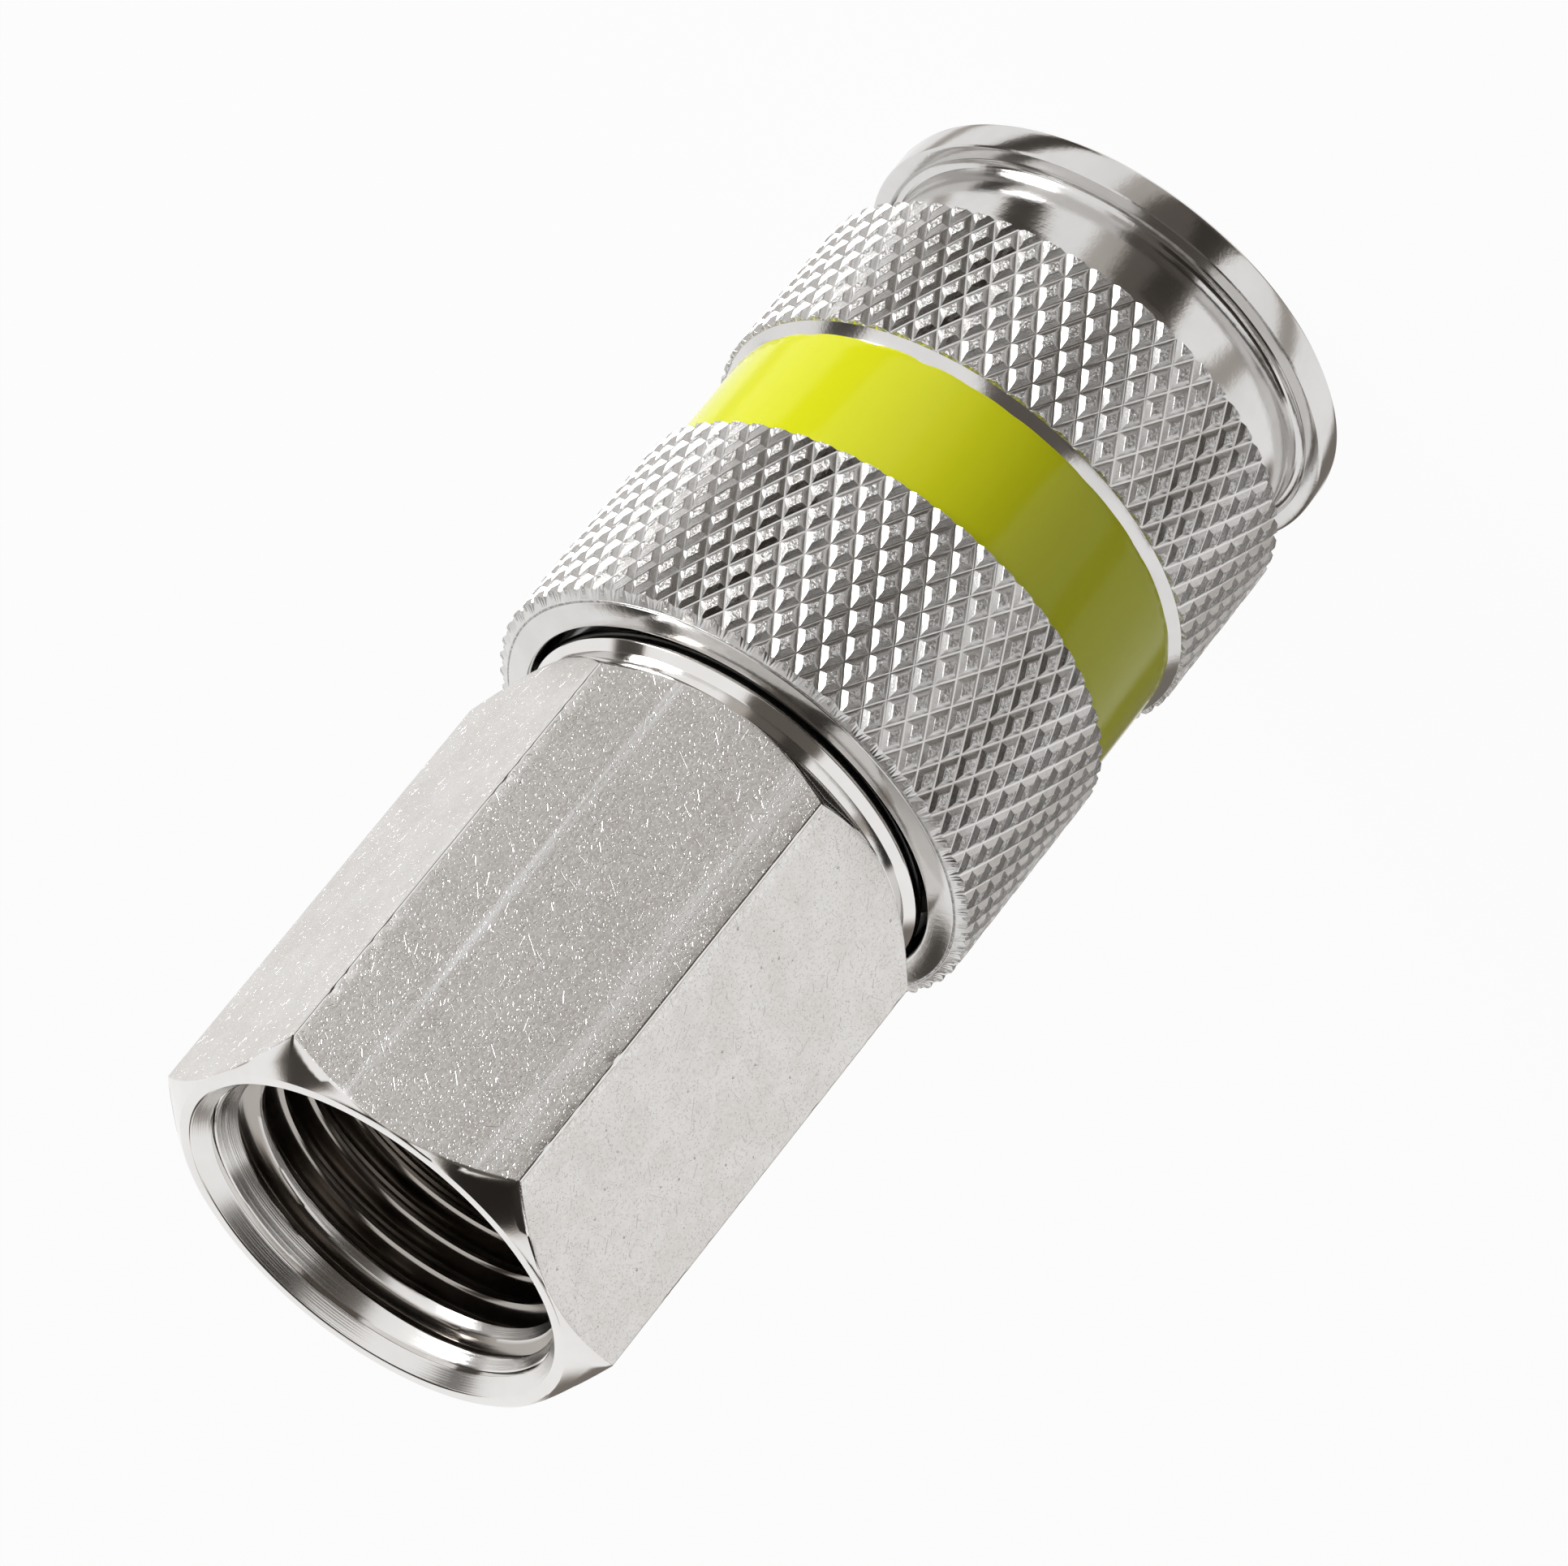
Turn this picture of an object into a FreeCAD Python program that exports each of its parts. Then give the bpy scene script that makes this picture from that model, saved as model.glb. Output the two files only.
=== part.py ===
import FreeCAD, Part
import math
import os

# Quick-release air coupling with a female pipe thread: a hexagon tail that screws
# onto a pipe, and a knurled sleeve that is pulled back to let go of the plug.
# It stands on the sleeve's rim. The axis is Z, the plug enters from below at z = 0,
# and the threaded end is on top. Sizes are in millimetres.

# Lengths along the axis
sleeve_length = 37.6
sleeve_travel = 2.0
valve_travel = 3.5

# Running and assembly clearances
slide_gap = 0.09
thread_gap = 0.05
stop_gap = 0.1
seal_gap = 0.03
ball_gap = 0.06

# Hexagon tail
across_flats = 24.0
hexagon_start = 39.25
rear_chamfer_length = 1.55
front_chamfer_length = 1.85
end_face_radius = 11.95
collar_radius = 11.85
collar_round = 0.4
collar_start = 37.0

# Female pipe thread, G 1/2, cut as a plain hole at its minor radius
pipe_minor_radius = 9.32
pipe_depth = 16.0
drill_half_angle = 59.0
passage_radius = 4.0
passage_length = 3.6

# Mouth of the thread: a countersink, a narrow ring and a lead-in cone
mouth_radius = 11.24
countersink_radius = 10.58
countersink_depth = 0.85
mouth_ring_radius = 10.74
mouth_ring_width = 0.27
lead_in_radius = 10.5
lead_in_slope = 0.45

# Joint between the tail and the socket body
joint_radius = 9.0
joint_depth = 8.2
gasket_thickness = 1.0
spring_pocket_radius = 6.2
spring_pocket_depth = 2.0

# Socket body, which the plug enters
nose_recess = 0.5
nose_radius = 9.15
body_shoulder_radius = 10.6
guide_radius = 6.1
guide_end = 10.0
plug_bore_radius = 5.05
plug_bore_length = 3.55
nose_chamfer = 0.6
chamber_radius = 7.4

# Locking balls
ball_count = 6
ball_radius = 2.0
ball_height = 6.0
ball_bite = 0.95

# Plug seal, an O-ring in a groove of the bore
seal_inner_radius = 5.0
seal_wire_radius = 0.9
seal_groove_width = 2.4

# Retaining ring on the nose
ring_start = 1.75
ring_thickness = 1.1
ring_inner_radius = 8.4
ring_outer_radius = 10.6
ring_slot_width = 5.0

# Sleeve, inside
sleeve_mouth_radius = 11.0
ring_shelf = 3.0
spring_shelf = 12.0
spring_bore_radius = 12.5
edge_chamfer = 0.4

# Sleeve, outside
rim_radius = 14.36
rim_width = 2.0
rim_round = 0.5
cove_depth = 0.35
neck_root_radius = 12.7
neck_root = 2.35
neck_top_radius = 13.3
neck_sag = 0.08
front_knurl_start = 6.95
groove_radius = 14.03
groove_bevel = 0.7
knurl_land_radius = 14.4
knurl_land_width = 0.15
rear_face_radius = 14.2

# Diamond knurl: rows are half diamonds high
knurl_radius = 14.77
knurl_depth = 0.3
knurl_diamonds = 62
knurl_row = 1.3
front_knurl_rows = 7
rear_knurl_rows = 10
rear_bevel_length = 0.4

# Lacquer in the groove between the knurls
lacquer_thickness = 0.1

# Springs; their end coils lie close, and their wire is cut into straight stretches
spring_stretches = 36
wire_sides = 6
closed_coil_gap = 0.05
sleeve_wire_radius = 0.7
sleeve_spring_radius = 11.45
sleeve_spring_turns = 6.5
valve_wire_radius = 0.45
valve_spring_radius = 4.6
valve_spring_turns = 7.5

# Valve; its stem still has some hold in the bore when it is open
stem_radius = 4.9
stem_bore_radius = 3.9
stem_set_back = 0.5
stem_hold = 1.0
valve_lip_radius = 5.3
valve_lip_above_seat = 0.95
valve_lip_thickness = 0.4
valve_seal_radius = 5.8
valve_seal_wire_radius = 0.9
valve_head_radius = 6.5
valve_head_above_seat = 2.6
valve_head_thickness = 2.6
spigot_radius = 3.7
spigot_length = 4.0
window_count = 3
window_width = 3.2
window_height = 2.0

# Sizes that follow from the ones above
corner_radius = across_flats / math.sqrt(3.0)
joint_bottom = collar_start + joint_depth
body_end = joint_bottom - gasket_thickness
valve_spring_seat = joint_bottom + spring_pocket_depth
drill_tip = valve_spring_seat + passage_length
drill_cone = (pipe_minor_radius - passage_radius) / math.tan(math.radians(drill_half_angle))
pipe_bottom = drill_tip + drill_cone
overall_length = pipe_bottom + pipe_depth
mouth_ring_start = overall_length - countersink_depth
lead_in_start = mouth_ring_start - mouth_ring_width
lead_in_end = lead_in_start - (lead_in_radius - pipe_minor_radius) / lead_in_slope
guide_cone = guide_radius - plug_bore_radius
plug_bore_start = guide_end + guide_cone
seal_groove_start = plug_bore_start + plug_bore_length
seal_groove_end = seal_groove_start + seal_groove_width
seal_ring_radius = seal_inner_radius + seal_wire_radius
seal_groove_radius = seal_ring_radius + seal_wire_radius
stem_start = seal_groove_end + stem_set_back
valve_seat_start = stem_start + valve_travel + stem_hold
valve_lip_start = valve_seat_start + valve_lip_above_seat
valve_head_start = valve_seat_start + valve_head_above_seat
valve_head_end = valve_head_start + valve_head_thickness
seat_height = chamber_radius - plug_bore_radius
body_shoulder = spring_shelf + sleeve_travel + stop_gap

ball_inner_radius = guide_radius - ball_bite
ball_ring_radius = ball_inner_radius + ball_radius
land_radius = nose_radius + slide_gap
ramp_slope = ball_bite / sleeve_travel
ramp_normal = math.sqrt(1.0 + ramp_slope**2)
ramp_at_ball = ball_ring_radius + (ball_radius + ball_gap) * ramp_normal
release_radius = ball_ring_radius + ball_radius + ball_bite + 2.0 * ball_gap
ramp_start = ball_height - (release_radius - ramp_at_ball) / ramp_slope
ramp_end = ball_height + (ramp_at_ball - land_radius) / ramp_slope

front_knurl_end = front_knurl_start + front_knurl_rows * knurl_row
groove_start = front_knurl_end + groove_bevel
rear_knurl_end = sleeve_length - rear_bevel_length
rear_knurl_start = rear_knurl_end - rear_knurl_rows * knurl_row
groove_end = rear_knurl_start - knurl_land_width
lacquer_radius = groove_radius + lacquer_thickness

valve_seal_height = (
    valve_seat_start
    + (valve_seal_radius - plug_bore_radius)
    + math.sqrt(2.0) * (valve_seal_wire_radius + seal_gap)
)

up = FreeCAD.Vector(0, 0, 1)
origin = FreeCAD.Vector(0, 0, 0)


def at(radius, height):
    """A point of a turned profile, in the XZ plane."""
    return FreeCAD.Vector(radius, 0, height)


def outline(steps):
    """Edges through profile points; a triple (radius, height, arc middle) bends the run to it."""
    edges = []
    for before, after in zip(steps, steps[1:]):
        start, end = at(*before[:2]), at(*after[:2])
        if len(after) == 3:
            edges.append(Part.Arc(start, at(*after[2]), end).toShape())
        else:
            edges.append(Part.LineSegment(start, end).toShape())
    return edges


def turned(steps):
    """A solid turned about the axis from a closed profile."""
    face = Part.Face(Part.Wire(outline(steps + [steps[0][:2]])))
    return face.revolve(origin, up, 360)


def ring_of_revolution(radius, height, wire_radius):
    """An O-ring."""
    return Part.makeTorus(radius, wire_radius, at(0, height), up)


def tube(outer, inner, start, end):
    """A plain ring between two heights."""
    length = end - start
    shell = Part.makeCylinder(outer, length, at(0, start), up)
    return shell.cut(Part.makeCylinder(inner, length, at(0, start), up))


def rounding_middle(radius, height, size):
    """The middle of the arc that rounds a lower outer corner."""
    inset = size * (1.0 - math.sqrt(0.5))
    return radius - inset, height + inset


def hexagon_tail():
    """The tail: hexagon, collar, female pipe thread, passage and the socket body's thread."""
    corners = [
        FreeCAD.Vector(
            corner_radius * math.cos(math.radians(60 * k)),
            corner_radius * math.sin(math.radians(60 * k)),
            collar_start,
        )
        for k in range(6)
    ]
    prism = Part.Face(Part.makePolygon(corners + corners[:1])).extrude(
        FreeCAD.Vector(0, 0, overall_length - collar_start)
    )
    round_middle = rounding_middle(collar_radius, collar_start, collar_round)
    turning = turned(
        [
            (0, collar_start),
            (collar_radius - collar_round, collar_start),
            (collar_radius, collar_start + collar_round, round_middle),
            (collar_radius, hexagon_start),
            (across_flats / 2, hexagon_start),
            (corner_radius, hexagon_start + front_chamfer_length),
            (corner_radius, overall_length - rear_chamfer_length),
            (end_face_radius, overall_length),
            (0, overall_length),
        ]
    )
    bore = turned(
        [
            (0, collar_start),
            (joint_radius + thread_gap, collar_start),
            (joint_radius + thread_gap, joint_bottom),
            (spring_pocket_radius, joint_bottom),
            (spring_pocket_radius, valve_spring_seat),
            (passage_radius, valve_spring_seat),
            (passage_radius, drill_tip),
            (pipe_minor_radius, pipe_bottom),
            (pipe_minor_radius, lead_in_end),
            (lead_in_radius, lead_in_start),
            (mouth_ring_radius, lead_in_start),
            (mouth_ring_radius, mouth_ring_start),
            (countersink_radius, mouth_ring_start),
            (mouth_radius, overall_length),
            (0, overall_length),
        ]
    )
    return prism.common(turning).cut(bore)


def ball_places():
    """Angle of each locking ball, in radians."""
    return [2.0 * math.pi * k / ball_count for k in range(ball_count)]


def ball_centre(angle):
    """Where a ball rests, held in by the sleeve."""
    return FreeCAD.Vector(
        ball_ring_radius * math.cos(angle),
        ball_ring_radius * math.sin(angle),
        ball_height,
    )


def socket_body():
    """The turned body that takes the plug, with its ball holes, seal groove and valve seat."""
    body = turned(
        [
            (guide_radius + nose_chamfer, nose_recess),
            (nose_radius - nose_chamfer, nose_recess),
            (nose_radius, nose_recess + nose_chamfer),
            (nose_radius, ring_start),
            (ring_inner_radius, ring_start),
            (ring_inner_radius, ring_start + ring_thickness + stop_gap),
            (nose_radius, ring_start + ring_thickness + stop_gap),
            (nose_radius, body_shoulder),
            (body_shoulder_radius, body_shoulder),
            (body_shoulder_radius, collar_start),
            (joint_radius, collar_start),
            (joint_radius, body_end),
            (chamber_radius, body_end),
            (chamber_radius, valve_seat_start + seat_height),
            (plug_bore_radius, valve_seat_start),
            (plug_bore_radius, seal_groove_end),
            (seal_groove_radius, seal_groove_end),
            (seal_groove_radius, seal_groove_start),
            (plug_bore_radius, seal_groove_start),
            (plug_bore_radius, plug_bore_start),
            (guide_radius, guide_end),
            (guide_radius, nose_recess + nose_chamfer),
        ]
    )
    hole_radius = ball_radius + ball_gap
    for angle in ball_places():
        outwards = FreeCAD.Vector(math.cos(angle), math.sin(angle), 0)
        centre = ball_centre(angle)
        seat = Part.makeSphere(hole_radius, centre)
        hole = Part.makeCylinder(hole_radius, nose_radius, centre, outwards)
        body = body.cut(seat.fuse(hole))
    return body


def locking_ball(angle):
    return Part.makeSphere(ball_radius, ball_centre(angle))


def retaining_ring():
    """The sprung ring on the nose that the sleeve stops against."""
    whole = tube(
        ring_outer_radius,
        ring_inner_radius + slide_gap,
        ring_start + stop_gap / 2,
        ring_start + stop_gap / 2 + ring_thickness,
    )
    slot = Part.makeBox(
        2.0 * ring_outer_radius,
        ring_slot_width,
        2.0 * ring_thickness,
        FreeCAD.Vector(0, -ring_slot_width / 2, ring_start - ring_thickness / 2),
    )
    return whole.cut(slot)


def knurl_point(line, column, start):
    """A point of the knurl's net: groove crossings and diamond tips take turns."""
    tip = (line + column) % 2 == 1
    radius = knurl_radius if tip else knurl_radius - knurl_depth
    angle = math.pi * column / knurl_diamonds
    return FreeCAD.Vector(
        radius * math.cos(angle), radius * math.sin(angle), start + line * knurl_row
    )


def triangle(a, b, c):
    return Part.Face(Part.makePolygon([a, b, c, a]))


def sewn(faces):
    """One solid inside a closed skin of faces."""
    skin = Part.makeCompound(faces)
    skin.sewShape()
    solid = Part.makeSolid(skin.Shells[0])
    if solid.Volume < 0:
        solid.reverse()
    return solid


def knurl_faces(start, rows):
    """The four-sided pyramids of one knurled band, each side a triangle."""
    faces = []
    for line in range(rows + 1):
        for column in range(2 * knurl_diamonds):
            if (line + column) % 2 == 0:
                continue
            tip = knurl_point(line, column, start)
            left = knurl_point(line, column - 1, start)
            right = knurl_point(line, column + 1, start)
            if line < rows:
                above = knurl_point(line + 1, column, start)
                faces.append(triangle(tip, right, above))
                faces.append(triangle(tip, above, left))
            if line > 0:
                below = knurl_point(line - 1, column, start)
                faces.append(triangle(tip, left, below))
                faces.append(triangle(tip, below, right))
    return faces


def knurl_edge(line, start):
    """The toothed outline of a knurled band at one of its lines."""
    points = [knurl_point(line, column, start) for column in range(2 * knurl_diamonds)]
    return Part.makePolygon(points + points[:1])


def circle_wire(radius, height):
    return Part.Wire(Part.makeCircle(radius, at(0, height), up))


def end_of_knurl(line, start, inner_radius):
    """The flat, toothed end wall of a knurled band."""
    hole = circle_wire(inner_radius, start + line * knurl_row)
    hole.reverse()
    return Part.Face([knurl_edge(line, start), hole])


def rear_bevel():
    """The turned-down last teeth of the rear knurl, and the sleeve's rear face."""
    faces = []
    rim = []
    last = rear_knurl_rows
    for column in range(2 * knurl_diamonds):
        angle = math.pi * column / knurl_diamonds
        rim.append(
            FreeCAD.Vector(
                rear_face_radius * math.cos(angle),
                rear_face_radius * math.sin(angle),
                sleeve_length,
            )
        )
    for column in range(2 * knurl_diamonds):
        here = knurl_point(last, column, rear_knurl_start)
        beside = knurl_point(last, (column + 1) % (2 * knurl_diamonds), rear_knurl_start)
        above, above_beside = rim[column], rim[(column + 1) % len(rim)]
        faces.append(triangle(here, beside, above_beside))
        faces.append(triangle(here, above_beside, above))
    hole = circle_wire(spring_bore_radius + edge_chamfer, sleeve_length)
    hole.reverse()
    faces.append(Part.Face([Part.makePolygon(rim + rim[:1]), hole]))
    return faces


def turned_faces(steps):
    """The faces that an open profile sweeps about the axis."""
    return Part.Wire(outline(steps)).revolve(origin, up, 360).Faces


def sleeve():
    """The locking sleeve: one turned piece with two knurled bands."""
    rim_middle = rounding_middle(rim_radius, 0.0, rim_round)
    cove_middle = ((rim_radius + neck_root_radius) / 2, rim_width - cove_depth)
    neck_middle = (
        (neck_root_radius + neck_top_radius) / 2 - neck_sag,
        (neck_root + front_knurl_start) / 2,
    )
    inside_and_rim = [
        (spring_bore_radius + edge_chamfer, sleeve_length),
        (spring_bore_radius, sleeve_length - edge_chamfer),
        (spring_bore_radius, spring_shelf),
        (land_radius, spring_shelf),
        (land_radius, ramp_end),
        (release_radius, ramp_start),
        (release_radius, ring_shelf),
        (sleeve_mouth_radius, ring_shelf),
        (sleeve_mouth_radius, edge_chamfer),
        (sleeve_mouth_radius + edge_chamfer, 0.0),
        (rim_radius - rim_round, 0.0),
        (rim_radius, rim_round, rim_middle),
        (rim_radius, rim_width),
        (neck_root_radius, neck_root, cove_middle),
        (neck_top_radius, front_knurl_start, neck_middle),
    ]
    groove = [
        (knurl_land_radius, front_knurl_end),
        (groove_radius, groove_start),
        (groove_radius, groove_end),
        (knurl_land_radius, groove_end),
        (knurl_land_radius, rear_knurl_start),
    ]
    faces = turned_faces(inside_and_rim) + turned_faces(groove)
    faces += knurl_faces(front_knurl_start, front_knurl_rows)
    faces += knurl_faces(rear_knurl_start, rear_knurl_rows)
    faces.append(end_of_knurl(0, front_knurl_start, neck_top_radius))
    faces.append(end_of_knurl(front_knurl_rows, front_knurl_start, knurl_land_radius))
    faces.append(end_of_knurl(0, rear_knurl_start, knurl_land_radius))
    faces += rear_bevel()
    return sewn(faces)


def lacquer_band():
    """The coloured lacquer that fills the groove between the knurls."""
    return tube(lacquer_radius, groove_radius, groove_start, groove_end)


def coil_height(turn, turns, wire_radius, length):
    """How far the wire has climbed after so many turns: the first and last coils are closed."""
    closed_pitch = 2.0 * wire_radius + closed_coil_gap
    open_pitch = (length - 2.0 * closed_pitch) / (turns - 2.0)
    closed_turns = min(turn, 1.0) + max(turn - (turns - 1.0), 0.0)
    return closed_turns * closed_pitch + (turn - closed_turns) * open_pitch


def coil_spring(radius, wire_radius, turns, start, end):
    """A coil spring that stands between two heights."""
    count = int(turns * spring_stretches)
    length = end - start - 2.0 * wire_radius
    sections = []
    for step in range(count + 1):
        turn = turns * step / count
        around = 2.0 * math.pi * turn
        height = start + wire_radius + coil_height(turn, turns, wire_radius, length)
        section = []
        for side in range(wire_sides):
            bend = 2.0 * math.pi * (side + 0.5) / wire_sides
            reach = radius + wire_radius * math.sin(bend)
            level = height + wire_radius * math.cos(bend)
            section.append(
                FreeCAD.Vector(reach * math.cos(around), reach * math.sin(around), level)
            )
        sections.append(section)
    faces = [
        Part.Face(Part.makePolygon(section + section[:1])) for section in (sections[0], sections[-1])
    ]
    for section, after in zip(sections, sections[1:]):
        for side in range(wire_sides):
            beside = (side + 1) % wire_sides
            faces.append(triangle(section[side], section[beside], after[beside]))
            faces.append(triangle(section[side], after[beside], after[side]))
    return sewn(faces)


def valve_poppet():
    """The valve: a hollow stem with windows that the plug pushes, a head and a spigot."""
    poppet = turned(
        [
            (stem_bore_radius, stem_start),
            (stem_radius, stem_start),
            (stem_radius, valve_lip_start),
            (valve_lip_radius, valve_lip_start),
            (valve_lip_radius, valve_lip_start + valve_lip_thickness),
            (stem_radius, valve_lip_start + valve_lip_thickness),
            (stem_radius, valve_head_start),
            (valve_head_radius, valve_head_start),
            (valve_head_radius, valve_head_end),
            (spigot_radius, valve_head_end),
            (spigot_radius, valve_head_end + spigot_length),
            (0, valve_head_end + spigot_length),
            (0, valve_lip_start),
            (stem_bore_radius, valve_lip_start),
        ]
    )
    for k in range(window_count):
        window = Part.makeBox(
            stem_radius + 1.0,
            window_width,
            window_height,
            FreeCAD.Vector(0, -window_width / 2, valve_lip_start - window_height),
        )
        window.rotate(origin, up, 360.0 * k / window_count)
        poppet = poppet.cut(window)
    return poppet.cut(valve_seal())


def valve_seal():
    return ring_of_revolution(valve_seal_radius, valve_seal_height, valve_seal_wire_radius)


def plug_seal():
    middle = (seal_groove_start + seal_groove_end) / 2
    return ring_of_revolution(seal_ring_radius, middle, seal_wire_radius)


def body_gasket():
    return tube(joint_radius - stop_gap, chamber_radius, body_end, joint_bottom)


def sleeve_spring():
    return coil_spring(
        sleeve_spring_radius, sleeve_wire_radius, sleeve_spring_turns, spring_shelf, collar_start
    )


def valve_spring():
    return coil_spring(
        valve_spring_radius, valve_wire_radius, valve_spring_turns, valve_head_end, valve_spring_seat
    )


def main():
    pieces = {
        "hexagon_tail": hexagon_tail(),
        "socket_body": socket_body(),
        "body_gasket": body_gasket(),
        "plug_seal": plug_seal(),
        "retaining_ring": retaining_ring(),
        "sleeve": sleeve(),
        "lacquer_band": lacquer_band(),
        "sleeve_spring": sleeve_spring(),
        "valve_poppet": valve_poppet(),
        "valve_seal": valve_seal(),
        "valve_spring": valve_spring(),
    }
    for number, angle in enumerate(ball_places(), 1):
        pieces["locking_ball_%d" % number] = locking_ball(angle)
    os.makedirs("parts", exist_ok=True)
    for name, shape in pieces.items():
        shape.exportStep("parts/%s.step" % name)
        print(name, "valid", shape.isValid(), "volume", round(shape.Volume, 1))


main()
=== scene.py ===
import math
import random

import bmesh
import bpy
from mathutils import Matrix, Vector


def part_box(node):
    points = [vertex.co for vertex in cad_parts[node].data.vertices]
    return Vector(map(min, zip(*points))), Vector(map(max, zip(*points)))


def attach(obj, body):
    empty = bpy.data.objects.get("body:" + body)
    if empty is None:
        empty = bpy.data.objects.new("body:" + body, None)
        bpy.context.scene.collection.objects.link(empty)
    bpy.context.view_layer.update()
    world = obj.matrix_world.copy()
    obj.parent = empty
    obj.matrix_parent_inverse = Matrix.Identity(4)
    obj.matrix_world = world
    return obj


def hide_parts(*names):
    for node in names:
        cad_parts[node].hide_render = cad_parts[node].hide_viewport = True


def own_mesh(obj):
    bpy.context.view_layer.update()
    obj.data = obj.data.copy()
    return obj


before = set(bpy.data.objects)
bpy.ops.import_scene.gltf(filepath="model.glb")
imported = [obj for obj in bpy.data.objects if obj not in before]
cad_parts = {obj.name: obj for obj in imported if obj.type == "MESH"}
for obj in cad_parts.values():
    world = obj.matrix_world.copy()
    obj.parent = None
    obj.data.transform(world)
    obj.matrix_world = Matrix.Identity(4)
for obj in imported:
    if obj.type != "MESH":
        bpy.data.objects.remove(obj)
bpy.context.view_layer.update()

# Shapes below are worked out in millimetres and made in metres
MM = 0.001

# Camera: where it aims, from where, and how it is turned
AIM = Vector((-1.68, 0.40, 34.51)) * MM
CAMERA_AZIMUTH = -13.515
CAMERA_ELEVATION = 28.02
CAMERA_ROLL = -141.216
CAMERA_DISTANCE = 568.65 * MM
CAMERA_LENS = 249.44
SENSOR_WIDTH = 36.0

# Stations along the axis, read from the solids
TAIL_LOW, TAIL_HIGH = (corner.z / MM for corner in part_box("hexagon_tail"))
SLEEVE_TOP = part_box("sleeve")[1].z / MM
KNURL_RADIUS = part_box("sleeve")[1].y / MM
BAND_LOW, BAND_HIGH = (corner.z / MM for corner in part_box("lacquer_band"))
BAND_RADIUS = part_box("lacquer_band")[1].x / MM
ACROSS_FLATS = 2.0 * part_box("hexagon_tail")[1].y / MM

# Hexagon tail: steps of its mesh, edges and chamfers, the collar next to the sleeve, worn corners
FLAT_STEPS = 24
CORNER_STEPS = 8
LENGTH_STEPS = 96
CORNER_ROUND = 0.26
END_FACE_RADIUS = 11.95
REAR_CHAMFER = 1.55
FRONT_CHAMFER = 1.85
HEXAGON_LOW = 39.25
COLLAR_RADIUS = 12.08
COLLAR_TOP = 38.0
COLLAR_BEVEL = 0.42
CREASE = 0.09
NICKS = 34
NICK_DEPTH = 0.035

# Inside of the tail: the air passage, and the socket that the body is screwed into
PASSAGE_RADIUS = 4.0
PASSAGE_LOW = 47.2
PASSAGE_HIGH = 50.75
SEAT_RADIUS = 6.2
SOCKET_RADIUS = 9.05
SOCKET_HIGH = 45.2

# Female pipe thread
THREAD_PITCH = 1.814
THREAD_MAJOR = 10.478
THREAD_MINOR = 9.32
THREAD_ROUND = 0.137
THREAD_SOFTNESS = 0.3
THREAD_LOW = 54.0
THREAD_STEPS = 18
RUNOUT_START = 0.6
RUNOUT_LENGTH = 1.5
MOUTH_RADIUS = 11.24
COUNTERSINK_RADIUS = 10.58
COUNTERSINK_DEPTH = 0.85
MOUTH_RING_RADIUS = 10.74
MOUTH_RING_WIDTH = 0.27
LEAD_IN_RADIUS = 10.5
LEAD_IN_SLOPE = 0.45

# Knurl: diamonds round the sleeve, half a diamond's height, and mesh steps in that half. How far a
# point lies from a groove's middle is a share of that half: up to GROOVE_FLAT it is on the bottom,
# from PLATEAU on it is on a diamond's top, and PLAIN marks the parts that have no knurl.
DIAMONDS = 62
DIAMOND_HALF = 1.3
DIAMOND_CUTS = 4
GROOVE_FLAT = 0.085
FLANK = 0.3
PLATEAU = 0.5
PLAIN = 1.0
KNURL_DEPTH = 0.25
GROOVE_UNEVEN = 0.008
TOP_UNEVEN = 0.014

# Knurled bands: lower end, and how many halves of a diamond they are high
FRONT_KNURL = (6.95, 7)
REAR_KNURL = (24.2, 10)

# Sleeve: its bores from the rear to the plug end, its rear face, rim and groove
BORE_RADIUS = 12.5
SPRING_SEAT = 12.0
BALL_RING_RADIUS = 9.24
BALL_RING_LOW = 6.4
FRONT_BORE_RADIUS = 10.22
FRONT_BORE_HIGH = 4.34
MOUTH_BORE_RADIUS = 11.0
MOUTH_BORE_HIGH = 3.0
REAR_EDGE_RADIUS = 13.95
REAR_EDGE_DROP = 0.32
REAR_END_SLOPE = 2.1
RIM_RADIUS = 14.36
GROOVE_RADIUS = 14.03

# Lacquer: mesh steps round it, how far it laps down and how wavy its front edge is
BAND_STEPS = 360
BAND_LAP = 0.12
BAND_WAVE = 0.22

# Springs: mean radius, wire radius, turns, lower and upper end
SLEEVE_SPRING = (11.45, 0.7, 6.5, 12.0, 37.0)
VALVE_SPRING = (4.6, 0.45, 7.5, 27.2, 47.2)
COIL_STEPS = 48
WIRE_SIDES = 12


# Mesh building

def grid_object(name, rows, material, smooth_angle=30.0, rising=None, values=None):
    """A closed skin through rings of points; the last ring joins the first.

    rising says how a square of the grid is split: True along the diagonal that rises with the
    angle, False along the other, None not at all. values holds numbers for the points, by name.
    """
    count = len(rows[0])
    points = [Vector(p) * MM for row in rows for p in row]
    faces = []
    for i in range(len(rows)):
        low = i * count
        high = ((i + 1) % len(rows)) * count
        for j in range(count):
            k = (j + 1) % count
            split = rising(i, j) if rising else None
            if split is None:
                faces.append((low + j, low + k, high + k, high + j))
            elif split:
                faces += [(low + j, low + k, high + k), (low + j, high + k, high + j)]
            else:
                faces += [(low + j, low + k, high + j), (low + k, high + k, high + j)]
    return mesh_object(name, points, faces, material, smooth_angle, values)


def quads(rows, columns, first=0, closed=True):
    """Squares between the neighbouring rows of a grid; closed joins each row's end to its start."""
    faces = []
    for i in range(rows - 1):
        low = first + i * columns
        high = low + columns
        for j in range(columns if closed else columns - 1):
            k = (j + 1) % columns
            faces.append((low + j, low + k, high + k, high + j))
    return faces


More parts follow.
